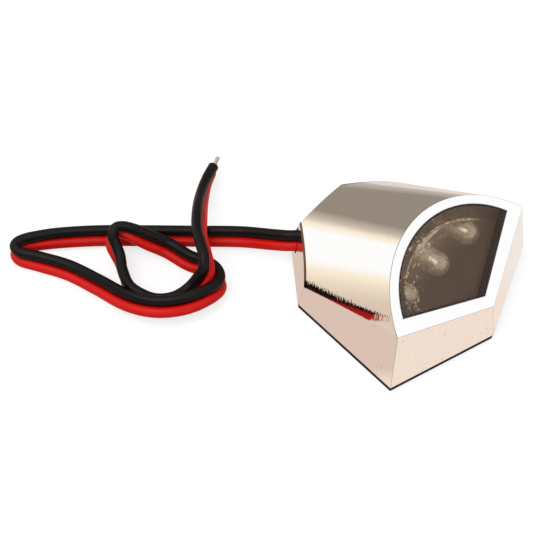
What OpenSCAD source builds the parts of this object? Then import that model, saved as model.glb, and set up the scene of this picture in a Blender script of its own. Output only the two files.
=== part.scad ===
// Number plate lamp: a small chrome lamp with a fan shaped smoked window.
// Millimetres, +Z up, the window looks towards -Y, the foam pad rests on z = 0.
// Heights inside the modules count from the lower rim of the housing.

/* [Housing] */
// width across the front shoulders
body_w = 28; // [24:0.5:34]
// length from the front tip to the heel
body_l = 29; // [25:0.5:34]
// how far the shoulders stand behind the tip
shoulder_y = 5; // [3:0.25:8]
// where the sides end and the rear corners begin
flank_y = 21.5; // [18:0.25:24]
// width at the end of the sides
flank_w = 22.5; // [19:0.25:25]
// width of the heel
heel_w = 7.5; // [5:0.25:11]
// lean of the two front walls
front_draft = 5; // [2:0.5:9]
// lean of the two side walls
side_draft = 8.5; // [4:0.5:12]
// lean of the two rear corner walls
corner_draft = 12.5; // [6:0.5:18]
// lean of the heel wall
heel_draft = 22; // [12:0.5:28]
// thickness of the drafted walls
wall_t = 1.4; // [1.2:0.1:1.8]

/* [Hood] */
// rise of the rounded hood over the line between the shoulders
hood_rise = 7.1; // [6:0.05:8]
// fall of the hood towards the heel
hood_slope = 26.5; // [20:0.5:32]
// thickness of the hood
hood_t = 1.2; // [0.9:0.1:1.6]

/* [Window] */
// height of the window plane at the front tip
lip_h = 5.4; // [4.5:0.1:6.5]
// lean of the window plane against the base
window_tilt = 33; // [26:0.5:38]
// frame width at the lower point
point_gap = 1.6; // [1.2:0.1:2.4]
// frame width between the window corners and the shoulders
frame_side = 2.15; // [1.7:0.05:3]
// frame width over the top of the arc
frame_top = 1.15; // [1:0.05:2]
// distance of the window corners from the lower edge line
fan_v = 6.8; // [6.2:0.1:7.4]
// depth of the rebate that holds the lens
rebate_d = 1.4; // [1.2:0.1:1.8]
// thickness of the ledge under the seal
ledge_t = 0.8; // [0.6:0.1:1.1]
// thickness of the lens
lens_t = 1.0; // [0.8:0.05:1.2]
// how deep the lens sits below the frame
lens_drop = 0.1; // [0.05:0.05:0.3]
// width of the black sealing line round the lens
seal_line = 0.22; // [0.1:0.02:0.4]

/* [Light] */
// diameter of one clear LED
led_d = 3; // [2.8:0.1:3.2]
// free space between the outer LED flanges and the side walls
led_side_gap = 1.9; // [1.6:0.1:2.6]
// free space over the LEDs, under the hood and the window ledge
led_top_gap = 0.2; // [0.15:0.05:0.6]
// distance of the LED tips from the front tip
led_y = 7.3; // [7:0.1:8]
// thickness of the reflector
reflector_t = 0.8; // [0.6:0.1:1]
// thickness of the circuit board
board_t = 1; // [0.8:0.1:1.2]

/* [Base] */
// thickness of the base plate
plate_t = 1; // [0.9:0.1:1.2]
// thickness of the foam pad
pad_t = 0.8; // [0.5:0.1:1.5]
// spacing of the two threaded inserts
insert_gap = 14; // [13.5:0.5:14.5]
// distance of the inserts from the front tip
insert_y = 19.5; // [19:0.25:20.5]
// thread diameter of the inserts
thread_d = 2.5; // [2:0.5:2.5]

/* [Cable] */
// diameter of one core over its sleeve
core_d = 1.35; // [1.2:0.05:1.4]
// distance between the two core axes
core_pitch = 1.42; // [1.38:0.01:1.5]
// diameter of the bare strands
strand_d = 0.7; // [0.5:0.05:0.8]
// length of the bare strands
strand_l = 1.8; // [1:0.1:3]

/* [Hidden] */
$fn = 72;
fit = 0.08;                         // clearance between seated pieces
slip = 0.02;                        // clearance round screws, leads and the lens
slab_gap = 0.15;                    // from the inner walls to the upright plates
cut = 1;                            // overshoot of cutting solids
hole_end = 0.25;                    // free depth past screws and inserts
far = 90;                           // larger than the lamp, for cutting blocks

// outline of the lower rim, counter-clockwise from the front tip
rim = [[0, 0], [body_w/2, shoulder_y], [flank_w/2, flank_y], [heel_w/2, body_l],
       [-heel_w/2, body_l], [-flank_w/2, flank_y], [-body_w/2, shoulder_y]];
drafts = [front_draft, side_draft, corner_draft, heel_draft,
          corner_draft, side_draft, front_draft];

// a wall plane as [outward normal, distance]
function wall_plane(p, q, draft) =
    let (d = (q - p)/norm(q - p),
         n = [d.y*cos(draft), -d.x*cos(draft), sin(draft)])
    [n, n*[p.x, p.y, 0]];
// the point where three planes meet
function meet(a, b, c) =
    (a[1]*cross(b[0], c[0]) + b[1]*cross(c[0], a[0]) + c[1]*cross(a[0], b[0]))
    / (a[0]*cross(b[0], c[0]));

front_plane = wall_plane(rim[0], rim[1], front_draft);
side_plane = wall_plane(rim[1], rim[2], side_draft);
lip_y = (front_plane[1] - front_plane[0].z*lip_h)/front_plane[0].y;
lip = [0, lip_y, lip_h];            // lower point of the window frame
window_n = [0, -sin(window_tilt), cos(window_tilt)];
shoulder = meet(front_plane, side_plane, [window_n, window_n*lip]);

// the hood axis is set so that the hood just clears both window shoulders, where
// a short edge of this height is left between the side wall and the window plane
shoulder_clear = 0.06;
hood_r = (hood_rise*hood_rise + shoulder.x*shoulder.x)/(2*hood_rise);
hood_m = [0, sin(hood_slope), cos(hood_slope)];
hood_axis = shoulder*hood_m + shoulder_clear + hood_rise - hood_r;
// height of the hood's inner side at one place
function hood_inside(x, y) =
    (hood_axis + sqrt(pow(hood_r - hood_t, 2) - x*x) - y*hood_m.y)/hood_m.z;
// half width between the side walls at one place
function side_inside(y, z) =
    (side_plane[1] - wall_t - y*side_plane[0].y - z*side_plane[0].z)/side_plane[0].x;
// half width of the lower rim beside the flanks
function rim_half(y) =
    body_w/2 + (flank_w - body_w)/2*(y - shoulder_y)/(flank_y - shoulder_y);

// the window opening is a fan: two straight lower edges under one arc
up_slope = [0, cos(window_tilt), sin(window_tilt)];
crown_v = (hood_axis + hood_r - lip*hood_m)/(up_slope*hood_m);
fan_u = shoulder.x - frame_side;
fan_rise = crown_v - frame_top - fan_v;
fan_r = (fan_rise*fan_rise + fan_u*fan_u)/(2*fan_rise);
fan_c = fan_v + fan_rise - fan_r;
fan_a = atan2(fan_v - point_gap, fan_u);
frame_t = rebate_d + ledge_t;
seal_t = rebate_d - lens_drop - lens_t;
seal_low = 0.1;                     // black line below the lens face
arc_land = 1.6;                     // ledge width along the arc
edge_land = 0.7;                    // ledge width along the straight edges
shine = 0.25;                       // bare rim of the ledge inside the seal

// one LED: dome, body and flange along -Y
led_r = led_d/2;
flange_r = led_r + 0.4;
flange_t = 1;
led_l = 5.3;
led_pitch = side_inside(led_y + led_l, shoulder.z) - flange_r - led_side_gap;
lead_r = 0.25;
lead_gap = 2.54;
lead_y0 = led_y + 2.2;              // front end of the cup inside the LED
led_back = led_y + led_l;
lead_bar = 0.3;                     // cross bar between the LED and the board
cup_r = 0.6;
cup_l = 0.5;
cup_fit = 0.05;                     // resin clearance round the lead frame
stem_x = 0.34;
stem_r = 0.2;
// the LEDs stand as high as the window ledge and the hood allow
ledge_v = fan_c + sqrt(pow(fan_r - arc_land, 2) - led_pitch*led_pitch);
ledge_low = lip_h + ledge_v*sin(window_tilt) - frame_t*cos(window_tilt);
roof_low = hood_inside(led_pitch + flange_r/sqrt(2), led_back) - flange_r/sqrt(2);
led_z = min(ledge_low - led_r, roof_low) - led_top_gap;
reflector_y = led_back - flange_t - reflector_t;
board_y = led_back + lead_bar;
board_back = board_y + board_t;
lead_y1 = board_back + 0.9;
led_x = [-led_pitch, 0, led_pitch];
solder_h = 0.6;
solder_r = 0.7;
solder_tip_r = 0.4;
chip_z = 3.4;                       // height of the small parts on the board
resistor = [2, 0.6, 1.25];
resistor_x = led_pitch + 0.2;
diode_body = [2.6, 1, 1.6];
diode_x = 2.6;

// base plate, its screws and the inserts
plate_gap = 0.85;                   // from the outer wall to the plate edge
screw_in = 2.45;                    // from the side edge to the screw axis
screw_back = 4.8;                   // from the end of the sides to the screw axis
plate_screw = [rim_half(flank_y - screw_back) - screw_in, flank_y - screw_back];
screw_r = 0.8;
screw_head_r = 1.5;
screw_head_l = 0.72;
screw_l = 4.2;
post_r = 1.7;
insert_r = 1.7;
insert_l = 3.6;
insert_post_r = 2.5;
skin = 0.45;                        // metal kept over the posts
plate_hole_gap = 0.25;              // round the mounting bolts in the plate
pad_hole_gap = 0.45;                // round the mounting bolts in the pad
pad_in = 0.2;                       // from the rim to the edge of the pad

// cable exit in the left rear corner wall
exit_z = 2.75;
exit_edge = 2.6;                    // from the exit to the heel corner, along the rim
corner_d = (rim[5] - rim[4])/norm(rim[5] - rim[4]);
exit_xy = rim[4] + corner_d*exit_edge;
exit_in = exit_z*tan(corner_draft)*[-corner_d.y, corner_d.x];
exit_c = [exit_xy.x + exit_in.x, exit_xy.y + exit_in.y, exit_z];
exit_turn = atan2(corner_d.y, corner_d.x);
exit_lean = 65;                     // black core above the red one
sleeve_t = 0.25;
sleeve_in = 0.6;                    // how far the sleeve stands inside the wall
passage_l = 8;                      // long enough for the wall, whatever its lean
core_fit = 0.03;                    // between a core and its sleeve
clamp_x = -2.4;
clamp_y = 20.2;
clamp_z = plate_t + 1.1;            // axis of the flat cable in the clamp
clamp_l = 2;
clamp_left = 1.9;                   // from the cable axis to the two ends
clamp_right = 3.4;
clamp_h = 2.1;
clamp_screw_x = 2.5;
clamp_screw_r = 0.4;
clamp_head_r = 0.62;
clamp_head_l = 0.35;
screw_foot = 0.4;                   // where the clamp screws end in the plate
joint_h = 0.5;

// cable route from the board to the free end, in the final place of the lamp:
// x, y, height above the table, roll of the pair (0 = black core straight above)
route = [
    [-2.4, -0.1, 4.2, 90], [-2.4, 2.4, 4.2, 90], [-2.4, 5.2, 2.9, 90], [-2.4, 8, 2.9, 90],
    [-2.7, 9.4, 3.2, 60], [-3.6, 10.7, 3.55, 25], [-5.5, 12.6, 3.55, 25], [-6.5, 15, 2.9, 30],
    [-8, 19.4, 1.6, 35], [-11.4, 24.2, 1.3, 35], [-15.2, 29.1, 1.3, 35], [-19.1, 34, 1.3, 35],
    [-22.4, 37.6, 1.3, 32], [-24.7, 39.6, 1.4, 20], [-26.5, 40.9, 1.4, 6],
    [-27.7, 40.9, 1.4, -6], [-28.1, 39.5, 1.4, -16], [-27.1, 37, 1.35, -28],
    [-25.7, 33, 1.3, -34], [-25.1, 28.2, 1.5, -38], [-24.9, 23.3, 2.2, -44],
    [-23.6, 19.6, 2.6, -47], [-21.2, 17.1, 2.7, -41], [-18.5, 15.9, 2.6, -30],
    [-15.8, 16, 1.8, -10], [-14.4, 17.4, 1.4, 8], [-14.2, 19.4, 1.4, 25],
    [-14.9, 22.1, 1.3, 33], [-15.2, 25.5, 1.5, 33], [-16.4, 27.6, 2.7, 28],
    [-17.3, 29.1, 3.7, 14], [-17.9, 30.4, 4, 0], [-18.6, 31.1, 3.9, -15],
    [-19.7, 30.8, 3.1, -22], [-20.6, 28.8, 1.8, -8], [-21.9, 26.8, 1.45, 6],
    [-23.2, 24.3, 1.4, -14], [-22.9, 21.2, 1.2, -46], [-21.1, 19, 1.3, -46],
    [-18.5, 18.3, 1.4, -38], [-16.3, 17.9, 3, -26], [-15.1, 18.6, 4.2, -20],
    [-13.8, 20.3, 4.4, -22], [-12.2, 22.4, 4.3, -22], [-9.8, 24.6, 3.8, -22],
    [-6.7, 27.2, 2.4, -10], [-3.6, 29.3, 1.5, 6], [-1.3, 30.3, 1.4, 17]];

// smooth curve through the route, steps rings to each stretch
function knot(i) = route[max(0, min(len(route) - 1, i))];
function smooth(a, b, c, d, t) =
    0.5*(2*b + (c - a)*t + (2*a - 5*b + 4*c - d)*t*t + (3*b - a - 3*c + d)*t*t*t);
steps = 1;
last = (len(route) - 1)*steps;
function at(k) = let (i = floor(k/steps), t = k/steps - i)
    smooth(knot(i - 1), knot(i), knot(i + 1), knot(i + 2), t);
function spot(k) = let (p = at(k)) [p[0], p[1], p[2]];
function along(k) =
    let (d = spot(min(last, k + 1)) - spot(max(0, k - 1))) d/norm(d);
function flat_right(k) = let (t = along(k)) [t.y, -t.x, 0]/norm([t.y, -t.x]);
function upward(k) = cross(flat_right(k), along(k));
function pair_dir(k) = let (r = at(k)[3]) upward(k)*cos(r) + flat_right(k)*sin(r);
sides = 8;

// everything is drawn with the front tip at y = 0 and then centred on the pad
module place() {
    translate([0, -body_l/2, pad_t])
        children();
}

// half space behind one drafted wall, moved inwards by inset
module wall_block(p, q, draft, inset) {
    translate([p.x, p.y, 0])
        rotate([0, 0, atan2(q.y - p.y, q.x - p.x)])
            rotate([-draft, 0, 0])
                translate([-far, inset, -far])
                    cube([2*far, far, 2*far]);
}

// the seven drafted walls together, between two heights
module walls(inset, z0, z1) {
    intersection() {
        translate([-far/2, -far/4, z0])
            cube([far, far, z1 - z0]);
        for_walls(0, inset);
    }
}

// the walls are intersected one by one, all seven
module for_walls(i, inset) {
    intersection() {
        wall_block(rim[i], rim[(i + 1) % 7], drafts[i], inset);
        if (i < 6) for_walls(i + 1, inset);
        else wall_block(rim[6], rim[0], drafts[6], inset);
    }
}

// the round hood as one sloping cylinder
module hood_bar(inset) {
    translate(hood_axis*hood_m)
        rotate([-(90 + hood_slope), 0, 0])
            cylinder(r = hood_r - inset, h = 2*far, center = true, $fn = 160);
}

// local frame of the window: x across, y up the slope, z out of the lamp
module on_window() {
    translate(lip)
        rotate([window_tilt, 0, 0])
            children();
}

// solid under the walls, the hood and the window plane
module shell(wall, hood, drop, z0) {
    intersection() {
        walls(wall, z0, far/2);
        hood_bar(hood);
        on_window()
            translate([-far/2, -far/2, -far - drop])
                cube([far, far, far]);
    }
}

// window outline, the arc and the straight edges moved in separately
module fan(arc_in, edge_in) {
    tip = point_gap + edge_in/cos(fan_a);
    intersection() {
        translate([0, fan_c])
            circle(r = fan_r - arc_in, $fn = 160);
        polygon([[0, tip], [far/3, tip + far/3*tan(fan_a)], [far/3, far/3],
                 [-far/3, far/3], [-far/3, tip + far/3*tan(fan_a)]]);
    }
}

// slab of the window outline between two heights of the window frame
module fan_slab(arc_in, edge_in, z0, z1) {
    on_window()
        translate([0, 0, z0])
            linear_extrude(z1 - z0)
                fan(arc_in, edge_in);
}

// oblong bar along a direction, for the flat cable and its passages
module twin_bar(r, l) {
    for (s = [-1, 1])
        translate([s*core_pitch/2, 0, 0])
            cylinder(r = r, h = l, center = true, $fn = 32);
    cube([core_pitch, 2*r, l], center = true);
}

// the cable passage through the rear corner wall
module exit_bar(r, l) {
    translate(exit_c)
        rotate([0, 0, exit_turn])
            rotate([90, 0, 0])
                rotate([0, 0, -exit_lean])
                    twin_bar(r, l);
}

// a round bar along +Y
module bar_y(r, y0, y1) {
    translate([0, y0, 0])
        rotate([-90, 0, 0])
            cylinder(r = r, h = y1 - y0, $fn = 32);
}

module housing() {
    color([0.78, 0.77, 0.76])
    difference() {
        union() {
            difference() {
                shell(0, 0, 0, 0);
                shell(wall_t, hood_t, frame_t, -1);
            }
            intersection() {
                shell(skin, skin, frame_t, plate_t);
                posts();
            }
        }
        walls(plate_gap - fit, -1, plate_t);
        fan_slab(0, 0, -rebate_d, 1);
        fan_slab(arc_land, edge_land, -frame_t - 1, 1);
        exit_bar(core_d/2 + sleeve_t + slip, passage_l);
        for (s = [-1, 1]) {
            translate([s*plate_screw.x, plate_screw.y, 0])
                cylinder(r = screw_r + slip, h = screw_l + hole_end, $fn = 32);
            translate([s*insert_gap/2, insert_y, 0])
                cylinder(r = insert_r + slip, h = plate_t + insert_l + hole_end, $fn = 48);
        }
    }
}

// posts for the plate screws and for the threaded inserts
module posts() {
    for (s = [-1, 1]) {
        translate([s*plate_screw.x, plate_screw.y, plate_t])
            cylinder(r = post_r, h = far/4);
        translate([s*insert_gap/2, insert_y, plate_t])
            cylinder(r = insert_post_r, h = far/4);
    }
}

module lens() {
    color([0.30, 0.26, 0.23, 0.6])
        fan_slab(seal_line + slip, seal_line + slip, -lens_drop - lens_t, -lens_drop);
}

module lens_seal() {
    color([0.05, 0.05, 0.05])
    difference() {
        fan_slab(slip/2, slip/2, -rebate_d, -lens_drop - seal_low);
        fan_slab(seal_line, seal_line, -rebate_d + seal_t, cut);
        fan_slab(arc_land - shine, edge_land - shine, -rebate_d - cut, cut);
    }
}

// upright slab that follows the inside of the housing
module inner_slab(gap, y0, t) {
    intersection() {
        shell(wall_t + gap, hood_t + gap, frame_t + gap, plate_t);
        translate([-far/2, y0, 0])
            cube([far, t, far]);
    }
}

module reflector() {
    color([0.82, 0.82, 0.80])
    difference() {
        inner_slab(slab_gap, reflector_y, reflector_t);
        for (x = led_x)
            translate([x, 0, led_z])
                bar_y(led_r + fit, reflector_y - cut, reflector_y + reflector_t + cut);
    }
}

module circuit_board() {
    color([0.10, 0.30, 0.16])
    difference() {
        inner_slab(slab_gap, board_y, board_t);
        for (x = led_x, s = [-1, 1])
            translate([x + s*lead_gap/2, 0, led_z])
                bar_y(lead_r + slip, board_y - cut, board_back + cut);
    }
}

// one clear LED, bored for the lead frame
module led(x) {
    color([0.90, 0.93, 0.95, 0.5])
    translate([x, 0, led_z])
        difference() {
            union() {
                translate([0, led_y + led_r, 0])
                    sphere(r = led_r, $fn = 40);
                bar_y(led_r, led_y + led_r, led_back);
                bar_y(flange_r, led_back - flange_t, led_back);
            }
            bar_y(cup_r + cup_fit, lead_y0 - cup_fit, led_back + cut);
        }
}

// two legs an LED: one carries the cup, the other ends behind it
module led_leads() {
    color([0.80, 0.79, 0.74])
    for (x = led_x)
        translate([x, 0, led_z]) {
            bar_y(cup_r, lead_y0, lead_y0 + cup_l);
            for (s = [-1, 1]) {
                translate([s*stem_x, 0, 0])
                    bar_y(stem_r, lead_y0 + (s < 0 ? cup_l : 2*cup_l), led_back);
                translate([s*(lead_gap/2 + stem_x)/2, led_back + lead_bar/2, 0])
                    cube([lead_gap/2 - stem_x + 2*stem_r, lead_bar, 2*stem_r], center = true);
                translate([s*lead_gap/2, 0, 0])
                    bar_y(lead_r, led_back + lead_bar, lead_y1);
            }
        }
}

module solder_joints() {
    color([0.72, 0.72, 0.70])
    for (x = led_x, s = [-1, 1])
        translate([x + s*lead_gap/2, board_back, led_z])
            difference() {
                rotate([-90, 0, 0])
                    cylinder(r1 = solder_r, r2 = solder_tip_r, h = solder_h, $fn = 32);
                bar_y(lead_r + slip, -cut, solder_h + cut);
            }
}

module resistors() {
    color([0.10, 0.10, 0.11])
    for (s = [-1, 1])
        translate([s*resistor_x, board_back + resistor.y/2, chip_z])
            cube(resistor, center = true);
}

module diode() {
    color([0.16, 0.15, 0.15])
        translate([diode_x, board_back + diode_body.y/2, chip_z])
            cube(diode_body, center = true);
}

module base_plate() {
    color([0.07, 0.07, 0.07])
    difference() {
        walls(plate_gap, 0, plate_t);
        for (s = [-1, 1]) {
            translate([s*plate_screw.x, plate_screw.y, -slip/2])
                cylinder(r1 = screw_head_r + 2*slip, r2 = screw_r + 2*slip,
                         h = screw_head_l + 1.5*slip, $fn = 32);
            translate([s*plate_screw.x, plate_screw.y, -cut])
                cylinder(r = screw_r + 2*slip, h = plate_t + 2*cut, $fn = 32);
            translate([s*insert_gap/2, insert_y, -cut])
                cylinder(r = thread_d/2 + plate_hole_gap, h = plate_t + 2*cut, $fn = 32);
        }
        clamp_hole();
    }
}

module base_screws() {
    color([0.62, 0.62, 0.60])
    for (s = [-1, 1])
        translate([s*plate_screw.x, plate_screw.y, 0]) {
            cylinder(r1 = screw_head_r, r2 = screw_r, h = screw_head_l, $fn = 32);
            cylinder(r = screw_r, h = screw_l, $fn = 32);
        }
}

module foam_pad() {
    color([0.04, 0.04, 0.04])
    difference() {
        walls(pad_in, -pad_t, 0);
        for (s = [-1, 1])
            translate([s*insert_gap/2, insert_y, -pad_t - cut])
                cylinder(r = thread_d/2 + pad_hole_gap, h = pad_t + 2*cut, $fn = 32);
    }
}

module thread_inserts() {
    color([0.80, 0.64, 0.30])
    for (s = [-1, 1])
        translate([s*insert_gap/2, insert_y, plate_t])
            difference() {
                cylinder(r = insert_r, h = insert_l, $fn = 48);
                translate([0, 0, -cut])
                    cylinder(r = thread_d/2, h = insert_l + 2*cut, $fn = 48);
            }
}

// rubber sleeve in the rear corner wall, flush outside
module cable_grommet() {
    color([0.05, 0.05, 0.05])
    difference() {
        intersection() {
            exit_bar(core_d/2 + sleeve_t, passage_l);
            walls(0, 0, far/4);
        }
        walls(wall_t + sleeve_in, -cut, far/4);
        exit_bar(core_d/2 + core_fit, passage_l + 2*cut);
    }
}

// saddle that holds the flat cable down on the base plate
module cable_clamp() {
    color([0.09, 0.09, 0.09])
    difference() {
        translate([clamp_x - clamp_left, clamp_y, plate_t])
            cube([clamp_left + clamp_right, clamp_l, clamp_h]);
        translate([clamp_x, clamp_y + clamp_l/2, clamp_z])
            rotate([90, 0, 0])
                twin_bar(core_d/2 + 2*core_fit, clamp_l + 2*cut);
        clamp_hole();
    }
}

module clamp_hole() {
    translate([clamp_x + clamp_screw_x, clamp_y + clamp_l/2, screw_foot])
        cylinder(r = clamp_screw_r + slip, h = plate_t + clamp_h + cut, $fn = 24);
}

module clamp_screw() {
    color([0.62, 0.62, 0.60])
    translate([clamp_x + clamp_screw_x, clamp_y + clamp_l/2, 0]) {
        translate([0, 0, screw_foot])
            cylinder(r = clamp_screw_r, h = plate_t + clamp_h - screw_foot, $fn = 24);
        translate([0, 0, plate_t + clamp_h])
            cylinder(r = clamp_head_r, h = clamp_head_l, $fn = 24);
    }
}

// solder joints where the two cores meet the board
module cable_joints() {
    color([0.72, 0.72, 0.70])
    for (s = [-1, 1])
        translate([clamp_x + s*core_pitch/2, board_back, chip_z])
            rotate([-90, 0, 0])
                cylinder(r = core_d/2 - 0.05, h = joint_h, $fn = 32);
}

// eight sided tube along the route, shifted to one side of the pair
module core(side) {
    rings = [for (k = [0:last], j = [0:sides - 1])
        let (a = 360*(j + 0.5)/sides, r = flat_right(k), u = upward(k))
        spot(k) + side*core_pitch/2*pair_dir(k) + core_d/2*(r*cos(a) + u*sin(a))];
    polyhedron(rings, concat(
        [[for (j = [0:sides - 1]) j]],
        [for (k = [0:last - 1], j = [0:sides - 1])
            let (a = k*sides + j, b = k*sides + (j + 1) % sides)
            [a, a + sides, b + sides, b]],
        [[for (j = [sides - 1:-1:0]) last*sides + j]]));
}

// bare tinned strands at the free end of one core
module strand(side) {
    d = along(last);
    translate(spot(last) + side*core_pitch/2*pair_dir(last) + 0.01*d)
        rotate([0, acos(d.z), atan2(d.y, d.x)])
            cylinder(r = strand_d/2, h = strand_l, $fn = 24);
}

place() housing();
place() lens();
place() lens_seal();
place() reflector();
place() circuit_board();
place() led(-led_pitch);  // led_left
place() led(0);  // led_middle
place() led(led_pitch);  // led_right
place() led_leads();
place() solder_joints();
place() resistors();
place() diode();
place() base_plate();
place() base_screws();
place() foam_pad();
place() thread_inserts();
place() cable_grommet();
place() cable_clamp();
place() clamp_screw();
place() cable_joints();
color([0.06, 0.06, 0.07]) core(1);  // cable_core_black
color([0.80, 0.08, 0.06]) core(-1);  // cable_core_red
color([0.75, 0.75, 0.75]) strand(1);  // strand_black
color([0.75, 0.75, 0.75]) strand(-1);  // strand_red
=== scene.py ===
# %% [markdown]
# A number plate lamp: a small die-cast chrome shell with a smoked window, three
# clear LEDs behind it and a flat twin cable that lies in a loop on the table.
# The CAD solids give every shape. This script dresses them with finishes, lays the
# two cable cores as smooth tubes, and sets up a small product studio.

# %% Load the solids
import math

import bpy
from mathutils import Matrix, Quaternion, Vector


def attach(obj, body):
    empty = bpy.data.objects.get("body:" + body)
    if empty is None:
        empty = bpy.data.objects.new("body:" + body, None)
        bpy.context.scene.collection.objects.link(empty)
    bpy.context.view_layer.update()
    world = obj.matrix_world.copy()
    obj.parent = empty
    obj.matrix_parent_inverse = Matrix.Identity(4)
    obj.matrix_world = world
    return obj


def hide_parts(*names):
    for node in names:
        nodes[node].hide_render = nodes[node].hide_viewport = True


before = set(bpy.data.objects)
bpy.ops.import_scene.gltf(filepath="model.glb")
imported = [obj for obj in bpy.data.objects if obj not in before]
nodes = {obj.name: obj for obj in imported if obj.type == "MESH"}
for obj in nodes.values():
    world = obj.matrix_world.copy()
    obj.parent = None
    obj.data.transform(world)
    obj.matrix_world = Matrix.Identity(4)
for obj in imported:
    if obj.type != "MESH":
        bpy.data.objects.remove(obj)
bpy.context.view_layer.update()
MM = 0.001
print("solids loaded:", len(nodes))

# %% [markdown]
# The camera comes first, because everything else is judged through it. The photo was
# taken from the front left and from high above, so the camera looks down by some fifty
# degrees. A long lens keeps the lamp's edges almost parallel, as the photo shows them.

# %% Camera
CAMERA_PLACE = Vector((-84.23, -57.54, 130.04)) * MM
CAMERA_LOOK = Vector((0.4534, 0.4234, -0.7843)).normalized()
CAMERA_ROLL = math.radians(-3.41)
CAMERA_LENS = 85
CAMERA_SENSOR = 36

camera_data = bpy.data.cameras.new("camera")
camera_data.lens = CAMERA_LENS
camera_data.sensor_width = CAMERA_SENSOR
camera_data.clip_start = 0.01
camera_data.clip_end = 10
camera = bpy.data.objects.new("camera", camera_data)
bpy.context.scene.collection.objects.link(camera)
camera.rotation_mode = "QUATERNION"
camera.location = CAMERA_PLACE
level = CAMERA_LOOK.to_track_quat("-Z", "Y")
camera.rotation_quaternion = level @ Quaternion((0, 0, 1), CAMERA_ROLL)
bpy.context.scene.camera = camera
print("camera looks along", [round(x, 3) for x in CAMERA_LOOK])

# %% [markdown]
# The cable is a flat twin lead: a black and a red core side by side. Its route is a short
# list of points along the middle of the pair, each with the roll of the pair, and a smooth
# curve runs through them. One list makes both cores, so that they stay together
# through every bend, one above the other where the lead stands on its edge. The lead
# leaves the lamp at point 6.

# %% Cable route
CORE_PITCH = 1.42 * MM
SLEEVE_R = 0.7 * MM
ROUTE = [
    (-2.4, -0.1, 4.2, 90), (-2.4, 2.4, 4.2, 90), (-2.4, 5.2, 2.9, 90), (-2.4, 8, 2.9, 90),
    (-2.7, 9.4, 3.2, 60), (-3.6, 10.7, 3.55, 25), (-5.5, 12.6, 3.55, 25), (-6.5, 15, 2.9, 30),
    (-8, 19.4, 1.6, 35), (-11.4, 24.2, 1.3, 35), (-15.2, 29.1, 1.3, 35), (-19.1, 34, 1.3, 35),
    (-22.4, 37.6, 1.3, 32), (-24.7, 39.6, 1.4, 20), (-26.5, 40.9, 1.4, 6), (-27.7, 40.9, 1.4, -6),
    (-28.1, 39.5, 1.4, -16), (-27.1, 37, 1.35, -28), (-25.7, 33, 1.3, -34), (-25.1, 28.2, 1.5, -38),
    (-24.9, 23.3, 2.2, -44), (-23.6, 19.6, 2.6, -47), (-21.2, 17.1, 2.7, -41),
    (-18.5, 15.9, 2.6, -30), (-15.8, 16, 1.8, -10), (-14.4, 17.4, 1.4, 8), (-14.2, 19.4, 1.4, 25),
    (-14.9, 22.1, 1.3, 33), (-15.2, 25.5, 1.5, 33), (-16.4, 27.6, 2.7, 28), (-17.3, 29.1, 3.7, 14),
    (-17.9, 30.4, 4, 0), (-18.6, 31.1, 3.9, -15), (-19.7, 30.8, 3.1, -22), (-20.6, 28.8, 1.8, -8),
    (-21.9, 26.8, 1.45, 6), (-23.2, 24.3, 1.4, -14), (-22.9, 21.2, 1.2, -46),
    (-21.1, 19, 1.3, -46), (-18.5, 18.3, 1.4, -38), (-16.3, 17.9, 3, -26), (-15.1, 18.6, 4.2, -20),
    (-13.8, 20.3, 4.4, -22), (-12.2, 22.4, 4.3, -22), (-9.8, 24.6, 3.8, -22),
    (-6.7, 27.2, 2.4, -10), (-3.6, 29.3, 1.5, 6), (-1.3, 30.3, 1.4, 17)]
CURVE_STEPS = 6


def smooth(a, b, c, d, t):
    """A point between b and c on the smooth curve through four points."""
    square = (2 * a - 5 * b + 4 * c - d) * t ** 2
    cube = (3 * b - a - 3 * c + d) * t ** 3
    return 0.5 * (2 * b + (c - a) * t + square + cube)


def knot(i):
    """One point of the route; past either end it is the end point."""
    return Vector(ROUTE[max(0, min(len(ROUTE) - 1, i))])


def route_point(k):
    """Place in metres and roll in degrees, k steps along the curve."""
    i, t = k // CURVE_STEPS, (k % CURVE_STEPS) / CURVE_STEPS
    p = smooth(knot(i - 1), knot(i), knot(i + 1), knot(i + 2), t)
    return Vector(p[:3]) * MM, p[3]


LAST_STEP = (len(ROUTE) - 1) * CURVE_STEPS


def travel(k):
    """The direction of the pair at a step."""
    ahead, _ = route_point(min(LAST_STEP, k + 1))
    behind, _ = route_point(max(0, k - 1))
    return (ahead - behind).normalized()


def core_point(k, side):
    """Centre of one core: half the pitch to one side of the pair."""
    place, roll = route_point(k)
    t = travel(k)
    right = Vector((t.y, -t.x, 0)).normalized()
    upward = right.cross(t)
    across = upward * math.cos(math.radians(roll)) + right * math.sin(math.radians(roll))
    return place + side * CORE_PITCH / 2 * across


def run_length(points):
    """The length of a line of points."""
    return sum((b - a).length for a, b in zip(points, points[1:]))


core_line = {
    "black": [core_point(k, 1) for k in range(LAST_STEP + 1)],
    "red": [core_point(k, -1) for k in range(LAST_STEP + 1)]}
for colour, line in core_line.items():
    print(colour, "core, mm:", round(run_length(line) / MM, 1))

# %% [markdown]
# Each sleeve is one open curve with a round bevel, the way a cable artist would lay it.
# The curve starts at the solder joint inside the lamp and ends where the bare strands begin.

# %% Cable sleeves


def tubes(name, lines, radius, roundness):
    """Round tubes that follow lines of points, as one curve. The radius is set at the points,
    and not by the bevel, because the box that is measured round a curve goes by its points."""
    data = bpy.data.curves.new(name, "CURVE")
    data.dimensions = "3D"
    data.bevel_depth = 1
    data.bevel_resolution = roundness
    data.use_fill_caps = True
    for line in lines:
        spline = data.splines.new("POLY")
        spline.points.add(len(line) - 1)
        for point, place in zip(spline.points, line):
            point.co = (*place, 1)
            point.radius = radius
        spline.use_smooth = True
    piece = bpy.data.objects.new(name, data)
    bpy.context.scene.collection.objects.link(piece)
    return piece


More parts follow.
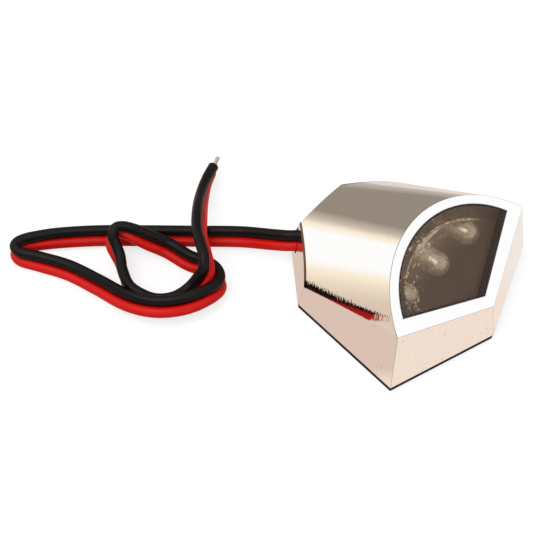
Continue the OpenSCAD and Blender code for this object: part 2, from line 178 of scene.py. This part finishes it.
sleeves = {}
for colour, line in core_line.items():
    piece = tubes("cable_sleeve_" + colour, [line], SLEEVE_R, 6)
    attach(piece, "root")
    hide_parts("cable_core_" + colour)
    colour + "_sleeve"
    run_length(line)
    sleeves[colour] = piece
print("sleeves:", sorted(sleeves))

# %% [markdown]
# The bare ends are seven fine tinned wires with a slight twist, six round one. Each wire follows
# a helix round the core's axis, and the curve is then made a mesh, so that the seven wires
# are one plain piece.

# %% Bare strands
STRAND_L = 1.8 * MM
WIRE_D = 0.2 * MM
WIRE_SWELL = 1.04
WIRE_COUNT = 7
WIRE_STEPS = 8
STRAND_TURN = 0.35
RAGGED = 0.03
SUNK_IN = 0.05 * MM


def wire_line(wire, start, direction):
    """The points of one wire. The last wire runs straight down the middle."""
    side = direction.orthogonal().normalized()
    reach = 0 if wire == WIRE_COUNT - 1 else WIRE_D
    length = STRAND_L * (1 - RAGGED * (wire % 3))
    places = []
    for k in range(WIRE_STEPS + 1):
        share = k / WIRE_STEPS
        turn = Quaternion(direction, math.tau * (wire / (WIRE_COUNT - 1) + STRAND_TURN * share))
        places.append(start + direction * (length * share) + reach * (turn @ side))
    return places


strands = {}
heading = travel(LAST_STEP)
for colour, line in core_line.items():
    start = line[-1] - heading * SUNK_IN
    wires = [wire_line(wire, start, heading) for wire in range(WIRE_COUNT)]
    curve = tubes("bare_wires_" + colour, wires, WIRE_D / 2 * WIRE_SWELL, 3)
    bpy.ops.object.select_all(action="DESELECT")
    curve.select_set(True)
    bpy.context.view_layer.objects.active = curve
    bpy.ops.object.convert(target="MESH")
    piece = bpy.context.view_layer.objects.active
    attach(piece, "root")
    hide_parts("strand_" + colour)
    strands[colour] = piece
    print(piece.name, "faces:", len(piece.data.polygons))

# %% [markdown]
# Finishes are node graphs, and a node graph in Python soon becomes a list of links that
# nobody can read. So a small class wraps a socket and turns Python operators into Math
# nodes: a mask times a noise is then written as just that.

# %% Arithmetic on sockets


class Wire:
    """One output of a node, with arithmetic."""

    def __init__(self, graph, socket):
        self.graph = graph
        self.socket = socket

    def _math(self, operation, *values):
        return self.graph.add("ShaderNodeMath", {"operation": operation}, dict(enumerate(values)))

    def __add__(self, other):
        return self._math("ADD", self, other)

    def __radd__(self, other):
        return self._math("ADD", other, self)

    def __sub__(self, other):
        return self._math("SUBTRACT", self, other)

    def __rsub__(self, other):
        return self._math("SUBTRACT", other, self)

    def __mul__(self, other):
        return self._math("MULTIPLY", self, other)

    def __rmul__(self, other):
        return self._math("MULTIPLY", other, self)

    def __gt__(self, other):
        return self._math("GREATER_THAN", self, other)

    def __lt__(self, other):
        return self._math("LESS_THAN", self, other)

    def max(self, other):
        return self._math("MAXIMUM", self, other)


print("arithmetic on sockets: + - * > < and max")

# %% [markdown]
# A second class holds the nodes of one finish. One method adds any node: its type, its
# settings and what goes into its sockets. The others are short names for steps that come back
# in many finishes. Colours and vectors go through their own nodes, because a Math node would
# turn a colour grey.

# %% Nodes of a finish


class Graph:
    """The nodes of one material or world."""

    def __init__(self, owner):
        self.owner = owner
        owner.use_nodes = True
        self.tree = owner.node_tree
        self.tree.nodes.clear()

    def add(self, kind, settings=None, inputs=None, out=0):
        """Adds a node: its settings first, then values or wires into its inputs."""
        node = self.tree.nodes.new(kind)
        for key, value in (settings or {}).items():
            setattr(node, key, value)
        for key, value in (inputs or {}).items():
            if isinstance(value, Wire):
                self.tree.links.new(value.socket, node.inputs[key])
            else:
                node.inputs[key].default_value = value
        return Wire(self, node.outputs[out])

    def place(self):
        """Object coordinates in millimetres."""
        here = self.add("ShaderNodeTexCoord", out="Object")
        return self.add("ShaderNodeVectorMath", {"operation": "SCALE"}, {0: here, "Scale": 1 / MM})

    def facing(self):
        """Where the surface points, before any bump."""
        return self.add("ShaderNodeTexCoord", out="Normal")

    def dot(self, vector, direction):
        return self.add("ShaderNodeVectorMath", {"operation": "DOT_PRODUCT"},
                        {0: vector, 1: direction}, out="Value")

    def noise(self, vector, scale, detail=2.0, roughness=0.5):
        """Clouds between 0 and 1, with about one cloud per mm where the scale is 1."""
        return self.add("ShaderNodeTexNoise", None, {
            "Vector": vector, "Scale": scale, "Detail": detail, "Roughness": roughness})

    def rays(self, *kinds):
        """1 for light rays of any of these kinds, 0 for all others."""
        node = self.tree.nodes.new("ShaderNodeLightPath")
        found = Wire(self, node.outputs["Is %s Ray" % kinds[0]])
        for kind in kinds[1:]:
            found = found.max(Wire(self, node.outputs["Is %s Ray" % kind]))
        return found

    def stretch(self, vector, x, y, z):
        """Scales each part of a vector on its own."""
        return self.add("ShaderNodeVectorMath", {"operation": "MULTIPLY"},
                        {0: vector, 1: (x, y, z)})

    def mix(self, share, a, b):
        """Colour a where share is 0, colour b where it is 1."""
        return self.add("ShaderNodeMix", {"data_type": "RGBA"}, {0: share, 6: a, 7: b}, out=2)

    def span(self, value, low, high):
        """Rises smoothly from 0 where the value is low to 1 where it is high."""
        return self.add("ShaderNodeMapRange", {"interpolation_type": "SMOOTHSTEP"},
                        {0: value, 1: low, 2: high})

    def bump(self, height, depth, normal=None):
        """Small relief, its depth in metres, on top of the normal that is given."""
        inputs = {"Height": height, "Distance": depth}
        if normal is not None:
            inputs["Normal"] = normal
        return self.add("ShaderNodeBump", None, inputs)

    def surface(self, **inputs):
        """The main shader, with its inputs named in words."""
        named = {key.replace("_", " ").title().replace("Ior", "IOR"): value
                 for key, value in inputs.items()}
        self.output(self.add("ShaderNodeBsdfPrincipled", None, named))

    def output(self, shader):
        kind = "World" if isinstance(self.owner, bpy.types.World) else "Material"
        end = self.tree.nodes.new("ShaderNodeOutput" + kind)
        self.tree.links.new(shader.socket, end.inputs["Surface"])


print("steps of a graph:", sorted(step for step in vars(Graph) if not step.startswith("_")))

# %% [markdown]
# Colours are written as a paint programme shows them, from 0 to 255, and made linear here,
# because light is added up in linear numbers. A finish goes on CAD nodes by their names, and
# on new pieces as they are.

# %% Colours and finishes


def rgb(red, green, blue):
    """A display colour, 0 to 255, as the linear colour that shaders use."""
    def linear(v):
        v /= 255
        return v / 12.92 if v <= 0.04045 else ((v + 0.055) / 1.055) ** 2.4
    return (linear(red), linear(green), linear(blue), 1)


def finish(name):
    """A new empty finish."""
    material = bpy.data.materials.new(name)
    return material, Graph(material)


def dress(material, *names):
    """Puts a finish on solids or on new pieces."""
    for name in names:
        piece = nodes[name] if isinstance(name, str) else name
        piece.data.materials.clear()
        piece.data.materials.append(material)
    print(material.name, "on", [n if isinstance(n, str) else n.name for n in names])


print("middle grey as light:", round(rgb(128, 128, 128)[0], 3))

# %% [markdown]
# The shell is one casting with two finishes: the window frame and the flat walls are
# polished chrome, and the hood is brushed across its length before plating. The finish tells
# them apart by where a face points: straight out of the window plane, square to the axis of the
# hood, or nearly sideways. A comparison gives 1 or 0, and the product of two means both.

# %% Faces of the shell
ACROSS = (1, 0, 0)
STRAIGHT_UP = (0, 0, 1)
WINDOW_TILT = math.radians(33)
WINDOW_FACING = (0, -math.sin(WINDOW_TILT), math.cos(WINDOW_TILT))
WINDOW_UP = (0, math.cos(WINDOW_TILT), math.sin(WINDOW_TILT))
HOOD_SLOPE = math.radians(26.5)
HOOD_ALONG = (0, math.cos(HOOD_SLOPE), -math.sin(HOOD_SLOPE))
HOOD_UP = (0, math.sin(HOOD_SLOPE), math.cos(HOOD_SLOPE))
SAME_WAY = 0.995
SQUARE_TO = 0.03
UPRIGHT = 0.3

material, g = finish("chrome_shell")
facing = g.facing()
spot = g.place()
polished = g.dot(facing, WINDOW_FACING) > SAME_WAY
along_hood = g.dot(facing, HOOD_ALONG)
flat_wall = g.dot(facing, STRAIGHT_UP) < UPRIGHT
on_hood = (along_hood * along_hood < SQUARE_TO ** 2) * (1 - polished) * (1 - flat_wall)
print("faces of the shell told apart: frame, walls and hood")

# %% [markdown]
# The brush marks are a noise drawn out round the hood, so they follow its bend: fine along the
# hood, long round it. They are a bump a few thousandths of a millimetre deep, on top of
# edges that a Bevel node rounds, because no edge of a casting is sharp.

# %% Brush marks and rounded edges
MARKS_ALONG = 5.5
MARKS_ROUND = 16
MARK_DEPTH = 0.007 * MM
EDGE_ROUND = 0.12 * MM
turn = g.add("ShaderNodeMath", {"operation": "ARCTAN2"},
             {0: g.dot(facing, ACROSS), 1: g.dot(facing, HOOD_UP)})
run = g.dot(spot, HOOD_ALONG)
marks_at = g.add("ShaderNodeCombineXYZ", None, {0: run * MARKS_ALONG, 1: turn * MARKS_ROUND})
marks = g.noise(marks_at, 1.0, 1.0)
rounded = g.add("ShaderNodeBevel", {"samples": 4}, {"Radius": EDGE_ROUND})
brushed_normal = g.bump(marks * on_hood, MARK_DEPTH, rounded)
print("brush marks per mm along the hood:", MARKS_ALONG)

# %% [markdown]
# Bare chrome would look like a rendering. The flat walls of the real lamp are slightly mottled
# and carry a few specks of dirt, while the frame is clean and the hood nearly so.

# %% Tint of the shell
TARNISH_AND_SHADE = rgb(112, 84, 66)
DIRT_RARE = 0.84
DIRT_SHARE = 0.4
grain = g.noise(spot, 2.2, 4.0)
mottled = g.mix(grain, rgb(243, 237, 233), rgb(255, 252, 250))
tint = g.mix(on_hood, mottled, rgb(253, 252, 250))
dirt = (g.noise(spot, 2.8, 0.0) > DIRT_RARE) * flat_wall
tint = g.mix(dirt * DIRT_SHARE, tint, TARNISH_AND_SHADE)
tint = g.mix(polished, tint, rgb(253, 253, 253))
print("tints: walls, hood and frame")

# %% [markdown]
# Two parts of the casting show through the window. The ledge that carries the lens has a
# painted highlight: a warm and broken line. The lips under the straight sides have painted
# shade, nearly black. Both lie below a height over the window plane, and the lips within a strip
# along the sides.

# %% Ledge and lips of the window
FAN_RIGHT = (0.443, -0.896 * WINDOW_UP[1], -0.896 * WINDOW_UP[2])
FAN_LEFT = (-FAN_RIGHT[0], FAN_RIGHT[1], FAN_RIGHT[2])
FAN_REACH = 5.82
FAN_HALF = 10.3
LEDGE_TOP = 12.6
LIP_STRIP = (-0.45, 2.4)
over_window = g.dot(spot, WINDOW_FACING)
ledge = polished * (over_window < LEDGE_TOP)
# Painted highlight: warm bright and dark patches on the ledge stand for glints of light.
painted_ledge_glints = g.span(g.noise(spot, 1.6, 3.0), 0.42, 0.62)
tint = g.mix(ledge, tint, g.mix(painted_ledge_glints, rgb(130, 100, 72), rgb(255, 232, 196)))
near_side = FAN_REACH - g.dot(spot, FAN_RIGHT).max(g.dot(spot, FAN_LEFT))
off_middle = g.dot(spot, ACROSS)
in_strip = (near_side > LIP_STRIP[0]) * (near_side < LIP_STRIP[1]) * (over_window < LEDGE_TOP)
shaded_lip = in_strip * (1 - on_hood) * (off_middle * off_middle < FAN_HALF ** 2)
# Painted shade: the lips under the straight sides are darkened nearly to black.
tint = g.mix(shaded_lip, tint, rgb(40, 32, 28))
print("ledge and lips end below", LEDGE_TOP, "mm over the window's zero plane")

# %% [markdown]
# A thin dark line runs along each edge: partly tarnish, where polishing cannot reach, and partly
# painted shade in the seam. The Bevel node finds the edges: there the rounded direction leaves
# the true one. The hood has a wider line of painted shade at the rear corners and a faint one
# beside the frame, found by their distance from those planes.

# %% Tarnish and painted shade along the edges
EDGE_SHARE = 0.75
CORNER_LEFT = (-0.6903, 0.6903, 0.2164)
CORNER_RIGHT = (0.6903, 0.6903, 0.2164)
CORNER_REACH = 12.77
CORNER_LINE = 0.22
FRAME_REACH = 12.82
FRAME_LINE = 0.1
FRAME_SHARE = 0.5
squareness = g.dot(rounded, g.add("ShaderNodeNewGeometry", out="True Normal"))
edge_tarnish_and_shade = g.span(squareness, 0.995, 0.93) * EDGE_SHARE
corner_shade = g.dot(spot, CORNER_LEFT).max(g.dot(spot, CORNER_RIGHT)) > CORNER_REACH - CORNER_LINE
frame_shade = (over_window > FRAME_REACH - FRAME_LINE) * FRAME_SHARE
# Painted shade with tarnish: dark lines along the edges, wider at the hood's rear corners and faint
# beside the frame.
tint = g.mix(edge_tarnish_and_shade.max(corner_shade.max(frame_shade) * on_hood), tint, TARNISH_AND_SHADE)
rough = 0.012 + 0.02 * grain + 0.12 * flat_wall + 0.4 * shaded_lip
g.surface(base_color=tint, metallic=1.0, roughness=rough, normal=brushed_normal)
dress(material, "housing")

# %% [markdown]
# The window is a smoked moulded plate. A tinted surface with some transparency reads the
# same in every viewer, and the clear LEDs show through it as soft light shapes. Painted light
# brightens the smoke from below over the LEDs, and painted shade darkens it along its right side,
# where the wall of the opening stands under it. Painted glints, warm flecks, stand for light from
# the lead frames along the left of the arc: a noise that only counts far from the tip of the fan,
# and left of the middle.

# %% Smoked window
FAN_TIP = (0, -12.38, 7.13)
PAINTED_GLOW_FROM, PAINTED_GLOW_TO = -1.5, 3.5
PAINTED_GLOW_SHARE = 0.6
SHADE_FROM, SHADE_TO = 0.95, 0.7
PAINTED_FLECKS_FROM, PAINTED_FLECKS_TO = 7.6, 9.0
PAINTED_FLECKS_RIGHT, PAINTED_FLECKS_LEFT = 4.0, 0.5
material, g = finish("smoked_window")
spot = g.place()
haze = g.noise(spot, 0.35, 3.0)
smoke = g.mix(haze, rgb(130, 104, 86), rgb(144, 118, 98))
# Painted light: the smoke is brighter towards the arc, over the LEDs.
glow = g.span(g.dot(spot, WINDOW_UP), PAINTED_GLOW_FROM, PAINTED_GLOW_TO)
smoke = g.mix(glow * PAINTED_GLOW_SHARE, smoke, rgb(196, 162, 132))
from_tip = g.add("ShaderNodeVectorMath", {"operation": "DISTANCE"},
                 {0: spot, 1: FAN_TIP}, out="Value")
by_arc = g.span(from_tip, PAINTED_FLECKS_FROM, PAINTED_FLECKS_TO)
by_arc = by_arc * g.span(g.dot(spot, ACROSS), PAINTED_FLECKS_RIGHT, PAINTED_FLECKS_LEFT)
# Painted glints: warm flecks of light along the left of the arc.
painted_flecks = g.span(g.noise(spot, 1.7, 3.0, 0.7), 0.56, 0.68) * by_arc
smoke = g.mix(painted_flecks, smoke, rgb(255, 228, 186))
# Painted shade: the smoke darkens along the right side of the window.
painted_side_shade = g.span(FAN_REACH - g.dot(spot, FAN_RIGHT), SHADE_FROM, SHADE_TO)
smoke = g.mix(painted_side_shade, smoke, rgb(66, 46, 34))
g.surface(base_color=smoke, roughness=0.02, ior=1.45,
          alpha=0.21 + 0.05 * haze + 0.25 * painted_side_shade + 0.3 * painted_flecks)
dress(material, "lens")

# %% [markdown]
# Round the window runs a black line of sealing rubber, slightly uneven where it was pressed in.
# The line is very thin, so a noise in its gloss and a fine bump are all that can be seen of it.

# %% Black sealing line
material, g = finish("sealing_rubber")
speck = g.noise(g.place(), 3.0, 4.0)
g.surface(base_color=g.mix(speck, rgb(14, 13, 13), rgb(26, 24, 24)), roughness=0.45 + 0.15 * speck,
          normal=g.bump(speck, 0.01 * MM))
dress(material, "lens_seal")

# %% [markdown]
# The LEDs are cast in clear resin round a bright cup. Seen through the smoke, a dome is a pale
# body with a glint of its cup in it. So the resin is half see-through and mirrors in
# cloudy patches, which reads as that glint from every side.

# %% Clear LEDs
material, g = finish("clear_resin")
spot = g.place()
swirl = g.noise(spot, 0.8)
cloud = g.span(g.noise(spot, 1.1, 3.0), 0.35, 0.65)
g.surface(base_color=g.mix(swirl, rgb(255, 232, 200), rgb(255, 246, 226)),
          roughness=0.04 + 0.3 * cloud, metallic=0.25 + 0.4 * cloud,
          transmission_weight=0.5, ior=1.5)
dress(material, "led_left", "led_middle", "led_right")

# %% [markdown]
# Behind the LEDs stand a bright plate that throws their light out and the green circuit board.
# The board has a woven look under a clear lacquer, and its parts are tinned, soldered or moulded.
# The free ends of the cable are tinned copper, a little warmer than the lead frames. Metals
# differ mostly in tint and gloss, so one noise in each finish moves both a little.

# %% Reflector, board and metal parts
material, g = finish("bright_plate")
haze = g.noise(g.place(), 1.5, 3.0)
g.surface(base_color=g.mix(haze, rgb(205, 200, 192), rgb(228, 224, 218)), metallic=0.9,
          roughness=0.25 + 0.15 * haze)
dress(material, "reflector")

material, g = finish("green_board")
weave = g.noise(g.stretch(g.place(), 1, 1, 4), 2.0, 3.0)
g.surface(base_color=g.mix(weave, rgb(18, 70, 38), rgb(34, 98, 54)), roughness=0.4,
          coat_weight=0.4, normal=g.bump(weave, 0.006 * MM))
dress(material, "circuit_board")

material, g = finish("tinned_metal")
dull = g.noise(g.place(), 4.0, 3.0)
g.surface(base_color=g.mix(dull, rgb(196, 194, 188), rgb(226, 224, 218)), metallic=1.0,
          roughness=0.22 + 0.2 * dull)
dress(material, "led_leads")

material, g = finish("tinned_copper")
dull = g.noise(g.place(), 4.0, 3.0)
g.surface(base_color=g.mix(dull, rgb(204, 186, 166), rgb(240, 228, 212)), metallic=1.0,
          roughness=0.3 + 0.2 * dull)
dress(material, strands["black"], strands["red"])

material, g = finish("solder")
dull = g.noise(g.place(), 3.0, 3.0)
g.surface(base_color=g.mix(dull, rgb(176, 176, 172), rgb(206, 206, 202)), metallic=1.0,
          roughness=0.25 + 0.25 * dull, normal=g.bump(dull, 0.02 * MM))
dress(material, "solder_joints", "cable_joints")

material, g = finish("chip_body")
band = g.noise(g.place(), 5.0, 2.0)
g.surface(base_color=g.mix(band, rgb(20, 20, 22), rgb(36, 36, 38)), roughness=0.5)
dress(material, "resistors", "diode")

# %% [markdown]
# Under the lamp sits a black plate with a fine moulded grain, held by two screws, and a
# closed-cell foam pad that keeps the lamp from scratching the plate it is bolted to. The
# cells of the foam are a Voronoi pattern, and the other finishes are noises, each at the
# size of its own grain.

# %% Base, pad, screws and inserts
material, g = finish("moulded_black")
grain = g.noise(g.place(), 6.0, 4.0)
g.surface(base_color=g.mix(grain, rgb(16, 16, 17), rgb(30, 30, 31)), roughness=0.5 + 0.15 * grain,
          normal=g.bump(grain, 0.02 * MM))
dress(material, "base_plate", "cable_clamp")

material, g = finish("foam")
cells = g.add("ShaderNodeTexVoronoi", None, {"Vector": g.place(), "Scale": 5.0})
g.surface(base_color=g.mix(cells, rgb(20, 20, 20), rgb(10, 10, 10)), roughness=0.9,
          normal=g.bump(cells, 0.05 * MM))
dress(material, "foam_pad")

material, g = finish("screw_steel")
wear = g.noise(g.place(), 3.0, 3.0)
g.surface(base_color=g.mix(wear, rgb(170, 170, 168), rgb(198, 198, 196)), metallic=1.0,
          roughness=0.2 + 0.2 * wear)
dress(material, "base_screws", "clamp_screw")

material, g = finish("insert_brass")
wear = g.noise(g.place(), 3.0, 3.0)
g.surface(base_color=g.mix(wear, rgb(196, 160, 84), rgb(220, 186, 110)), metallic=1.0,
          roughness=0.22 + 0.2 * wear)
dress(material, "thread_inserts")

material, g = finish("black_rubber")
bloom = g.noise(g.place(), 2.0, 4.0)
g.surface(base_color=g.mix(bloom, rgb(15, 15, 15), rgb(32, 31, 30)), roughness=0.55 + 0.2 * bloom,
          normal=g.bump(bloom, 0.01 * MM))
dress(material, "cable_grommet")

# %% [markdown]
# The sleeves are soft extruded plastic: evenly coloured, a little uneven in gloss, with a
# faint waviness where the lead was bent. One loop finishes both, since only the colours differ.

# %% Cable plastics
for colour, dark, light in (("black", rgb(2, 1, 1), rgb(11, 7, 6)),
                            ("red", rgb(200, 6, 2), rgb(222, 16, 6))):
    material, g = finish("soft_plastic_" + colour)
    spot = g.place()
    smear = g.noise(spot, 0.6, 3.0)
    ripple = g.noise(spot, 2.0, 2.0)
    g.surface(base_color=g.mix(smear, dark, light), roughness=0.36 + 0.14 * ripple,
              specular_ior_level=0.2, normal=g.bump(ripple, 0.012 * MM))
    dress(material, sleeves[colour])

# %% [markdown]
# The studio is a pale sweep under an even white sky. The floor glows a little towards the
# camera and in mirrors, so that it reads as white there and still keeps the shadow under the
# lamp and the cable. It lies a hair lower than the lamp, where the sleeves have their lowest
# point. The sky is plain white where it is seen and a little weaker as light.

# %% Floor and sky
FLOOR_HALF = 1.5
FLOOR_DROP = 0.02 * MM
FLOOR_GLOW = 0.72
FLOOR_GREY = (0.36, 0.36, 0.36, 1)
SKY_LIGHT = 0.82
WHITE = (1, 1, 1, 1)
SEEN = ("Camera", "Glossy", "Transmission")

bpy.ops.object.select_all(action="DESELECT")
bpy.ops.mesh.primitive_plane_add(size=2 * FLOOR_HALF, location=(0, 0, -FLOOR_DROP))
floor = bpy.context.active_object
floor.name = "floor"
material, g = finish("pale_floor")
plain = g.add("ShaderNodeBsdfDiffuse", None, {"Color": FLOOR_GREY})
glow = g.add("ShaderNodeEmission", None, {"Color": WHITE, "Strength": FLOOR_GLOW})
both = g.add("ShaderNodeAddShader", None, {0: plain, 1: glow})
g.output(g.add("ShaderNodeMixShader", None, {0: g.rays(*SEEN), 1: plain, 2: both}))
dress(material, floor)

world = bpy.data.worlds.new("studio")
bpy.context.scene.world = world
g = Graph(world)
strength = SKY_LIGHT + (1 - SKY_LIGHT) * g.rays(*SEEN)
g.output(g.add("ShaderNodeBackground", None, {"Color": WHITE, "Strength": strength}))
print("floor and sky ready")

# %% [markdown]
# Chrome shows its surroundings, so the room round the table matters. A wall stands round the
# lamp: a white window behind it, a warm wall to its left and a grey-brown one to its right, with
# soft passages between them that the bent hood shows as bands. It is open straight in front.
# The table is a flat ring that the upright walls mirror. Only reflections see these cards, like
# the ones a product photographer holds up, and each ring is one mesh that blends from colour
# to colour.

# %% Room and table in the mirror


def around(angle, reach, height):
    """A place at an angle from straight behind the lamp, clockwise from above, in mm."""
    turn = math.radians(angle)
    return (reach * math.sin(turn), reach * math.cos(turn), height)


def cards(name, faces):
    """Flat sheets in one mesh that only reflections see. A face is a list of corners, and a
    corner is a place in mm with its colour."""
    corners = [corner for face in faces for corner in face]
    loops = []
    for face in faces:
        first = sum(len(loop) for loop in loops)
        loops.append(range(first, first + len(face)))
    data = bpy.data.meshes.new(name)
    data.from_pydata([Vector(place) * MM for place, _ in corners], [], loops)
    layer = data.color_attributes.new("card_colour", "FLOAT_COLOR", "CORNER")
    for slot, (_, colour) in zip(layer.data, corners):
        slot.color = colour
    piece = bpy.data.objects.new(name, data)
    bpy.context.scene.collection.objects.link(piece)
    material, g = finish(name)
    shade = g.add("ShaderNodeVertexColor", {"layer_name": "card_colour"})
    g.output(g.add("ShaderNodeEmission", None, {"Color": shade, "Strength": 1.0}))
    data.materials.append(material)
    piece.visible_camera = False
    piece.visible_diffuse = False
    piece.visible_shadow = False
    piece.visible_transmission = False
    print(name, "faces:", len(faces))


def ring(name, stops, inner, outer):
    """A band round the lamp. Inner and outer are each a reach and a height in mm."""
    cards(name, [[(around(a, *inner), first), (around(b, *inner), second),
                  (around(b, *outer), second), (around(a, *outer), first)]
                 for (a, first), (b, second) in zip(stops, stops[1:])])


WARM_WALL = rgb(220, 200, 180)
CREAM_WALL = rgb(250, 236, 212)
SAND_WALL = rgb(200, 187, 172)
GREY_WALL = rgb(150, 139, 127)
WALL_REACH = 400
WALL_HEIGHT = 260
WALL_FOOT = -4
WALL_STOPS = [
    (-150, WARM_WALL), (-37, WARM_WALL), (-24, CREAM_WALL), (-17, WHITE), (5, WHITE),
    (10, CREAM_WALL), (15, SAND_WALL), (22, GREY_WALL), (100, GREY_WALL), (125, WARM_WALL)]
ring("room_wall", WALL_STOPS, (WALL_REACH, WALL_FOOT), (WALL_REACH, WALL_HEIGHT))

CREAM_TABLE = rgb(245, 230, 217)
ROSE_TABLE = rgb(223, 201, 188)
GREY_TABLE = rgb(228, 216, 207)
PALE_TABLE = rgb(243, 236, 229)
TABLE_INNER = 5
TABLE_OUTER = 380
TABLE_LEVEL = -0.01
TABLE_STOPS = [
    (-180, CREAM_TABLE), (-140, CREAM_TABLE), (-110, ROSE_TABLE), (-60, ROSE_TABLE),
    (-10, GREY_TABLE), (60, GREY_TABLE), (95, PALE_TABLE), (150, CREAM_TABLE), (180, CREAM_TABLE)]
ring("table_ring", TABLE_STOPS, (TABLE_INNER, TABLE_LEVEL), (TABLE_OUTER, TABLE_LEVEL))

# %% [markdown]
# Low on the table behind the lamp the grey wall is mirrored once more, as a patch with a soft
# near edge. It gives the top of the hood its grey and leaves the flat walls bright.

# %% Grey patch on the table
PALE_GREY = rgb(196, 184, 175)
PATCH_HEIGHT = 0.02


def patch(places, colours):
    """One flat face just over the table."""
    return [((x, y, PATCH_HEIGHT), colour) for (x, y), colour in zip(places, colours)]


SOFT_EDGE = [PALE_GREY, PALE_GREY, GREY_WALL, GREY_WALL]
FAR_GREY = [(16, 52), (38, 38), (52, 8), (TABLE_OUTER, 0), (TABLE_OUTER, TABLE_OUTER),
            (110, TABLE_OUTER)]
cards("grey_patch", [
    patch(FAR_GREY, [GREY_WALL] * len(FAR_GREY)),
    patch([(8, 26), (21, 19), (38, 38), (16, 52)], SOFT_EDGE),
    patch([(21, 19), (30, 3), (52, 8), (38, 38)], SOFT_EDGE)])

# %% [markdown]
# Low on the hood the photo shows a dark stripe with a red one under it: the mirror image of
# a black and red lead beside the lamp. Two cards on an upright plane there stand for it.

# %% Lead in the mirror
LEAD_BLACK = rgb(24, 18, 16)
LEAD_RED = rgb(158, 26, 22)
LEAD_FROM = Vector((-26.4, 33.5, 0))
LEAD_TO = Vector((-31.2, 18.4, 0))
LEAD_SEAM = [(-0.08, 5.75), (0.25, 6.4), (0.53, 7.3), (0.8, 8.5), (1.08, 9.7)]
BLACK_TOP = [(1.06, 10.7), (0.8, 10.0), (0.4, 9.4), (0.1, 9.0), (-0.08, 9.2)]
RED_FOOT = [(1.17, 8.4), (1.12, 6.5), (0.9, 6.2), (0.6, 5.95), (0.3, 5.7)]


def beside(outline, colour):
    """One face on the upright plane. A corner is a share of the way along and a height in mm."""
    return [(LEAD_FROM.lerp(LEAD_TO, share) + Vector((0, 0, height)), colour)
            for share, height in outline]


cards("mirrored_lead", [beside(LEAD_SEAM + BLACK_TOP, LEAD_BLACK),
                        beside(LEAD_SEAM + RED_FOOT, LEAD_RED)])

# %% [markdown]
# One large soft lamp from the upper left models the cable and the edges of the shell. It is
# wide, so that the sleeves get a long soft shine and not a hard glint.

# %% Soft lamp
LAMP_SIZE = 0.35
LAMP_POWER = 0.9
LAMP_PLACE = Vector((-0.25, 0.1, 0.5))
LAMP_AIM = Vector((0, 0.01, 0))
lamp_data = bpy.data.lights.new("soft_lamp", "AREA")
lamp_data.shape = "DISK"
lamp_data.size = LAMP_SIZE
lamp_data.energy = LAMP_POWER
lamp = bpy.data.objects.new("soft_lamp", lamp_data)
bpy.context.scene.collection.objects.link(lamp)
lamp.location = LAMP_PLACE
lamp.rotation_mode = "QUATERNION"
lamp.rotation_quaternion = (LAMP_AIM - LAMP_PLACE).to_track_quat("-Z", "Y")
bpy.context.scene.view_settings.view_transform = "Standard"
print("soft lamp ready")

# %% [markdown]
# The dressed cable is a little smoother and thicker than the cable of the solids.
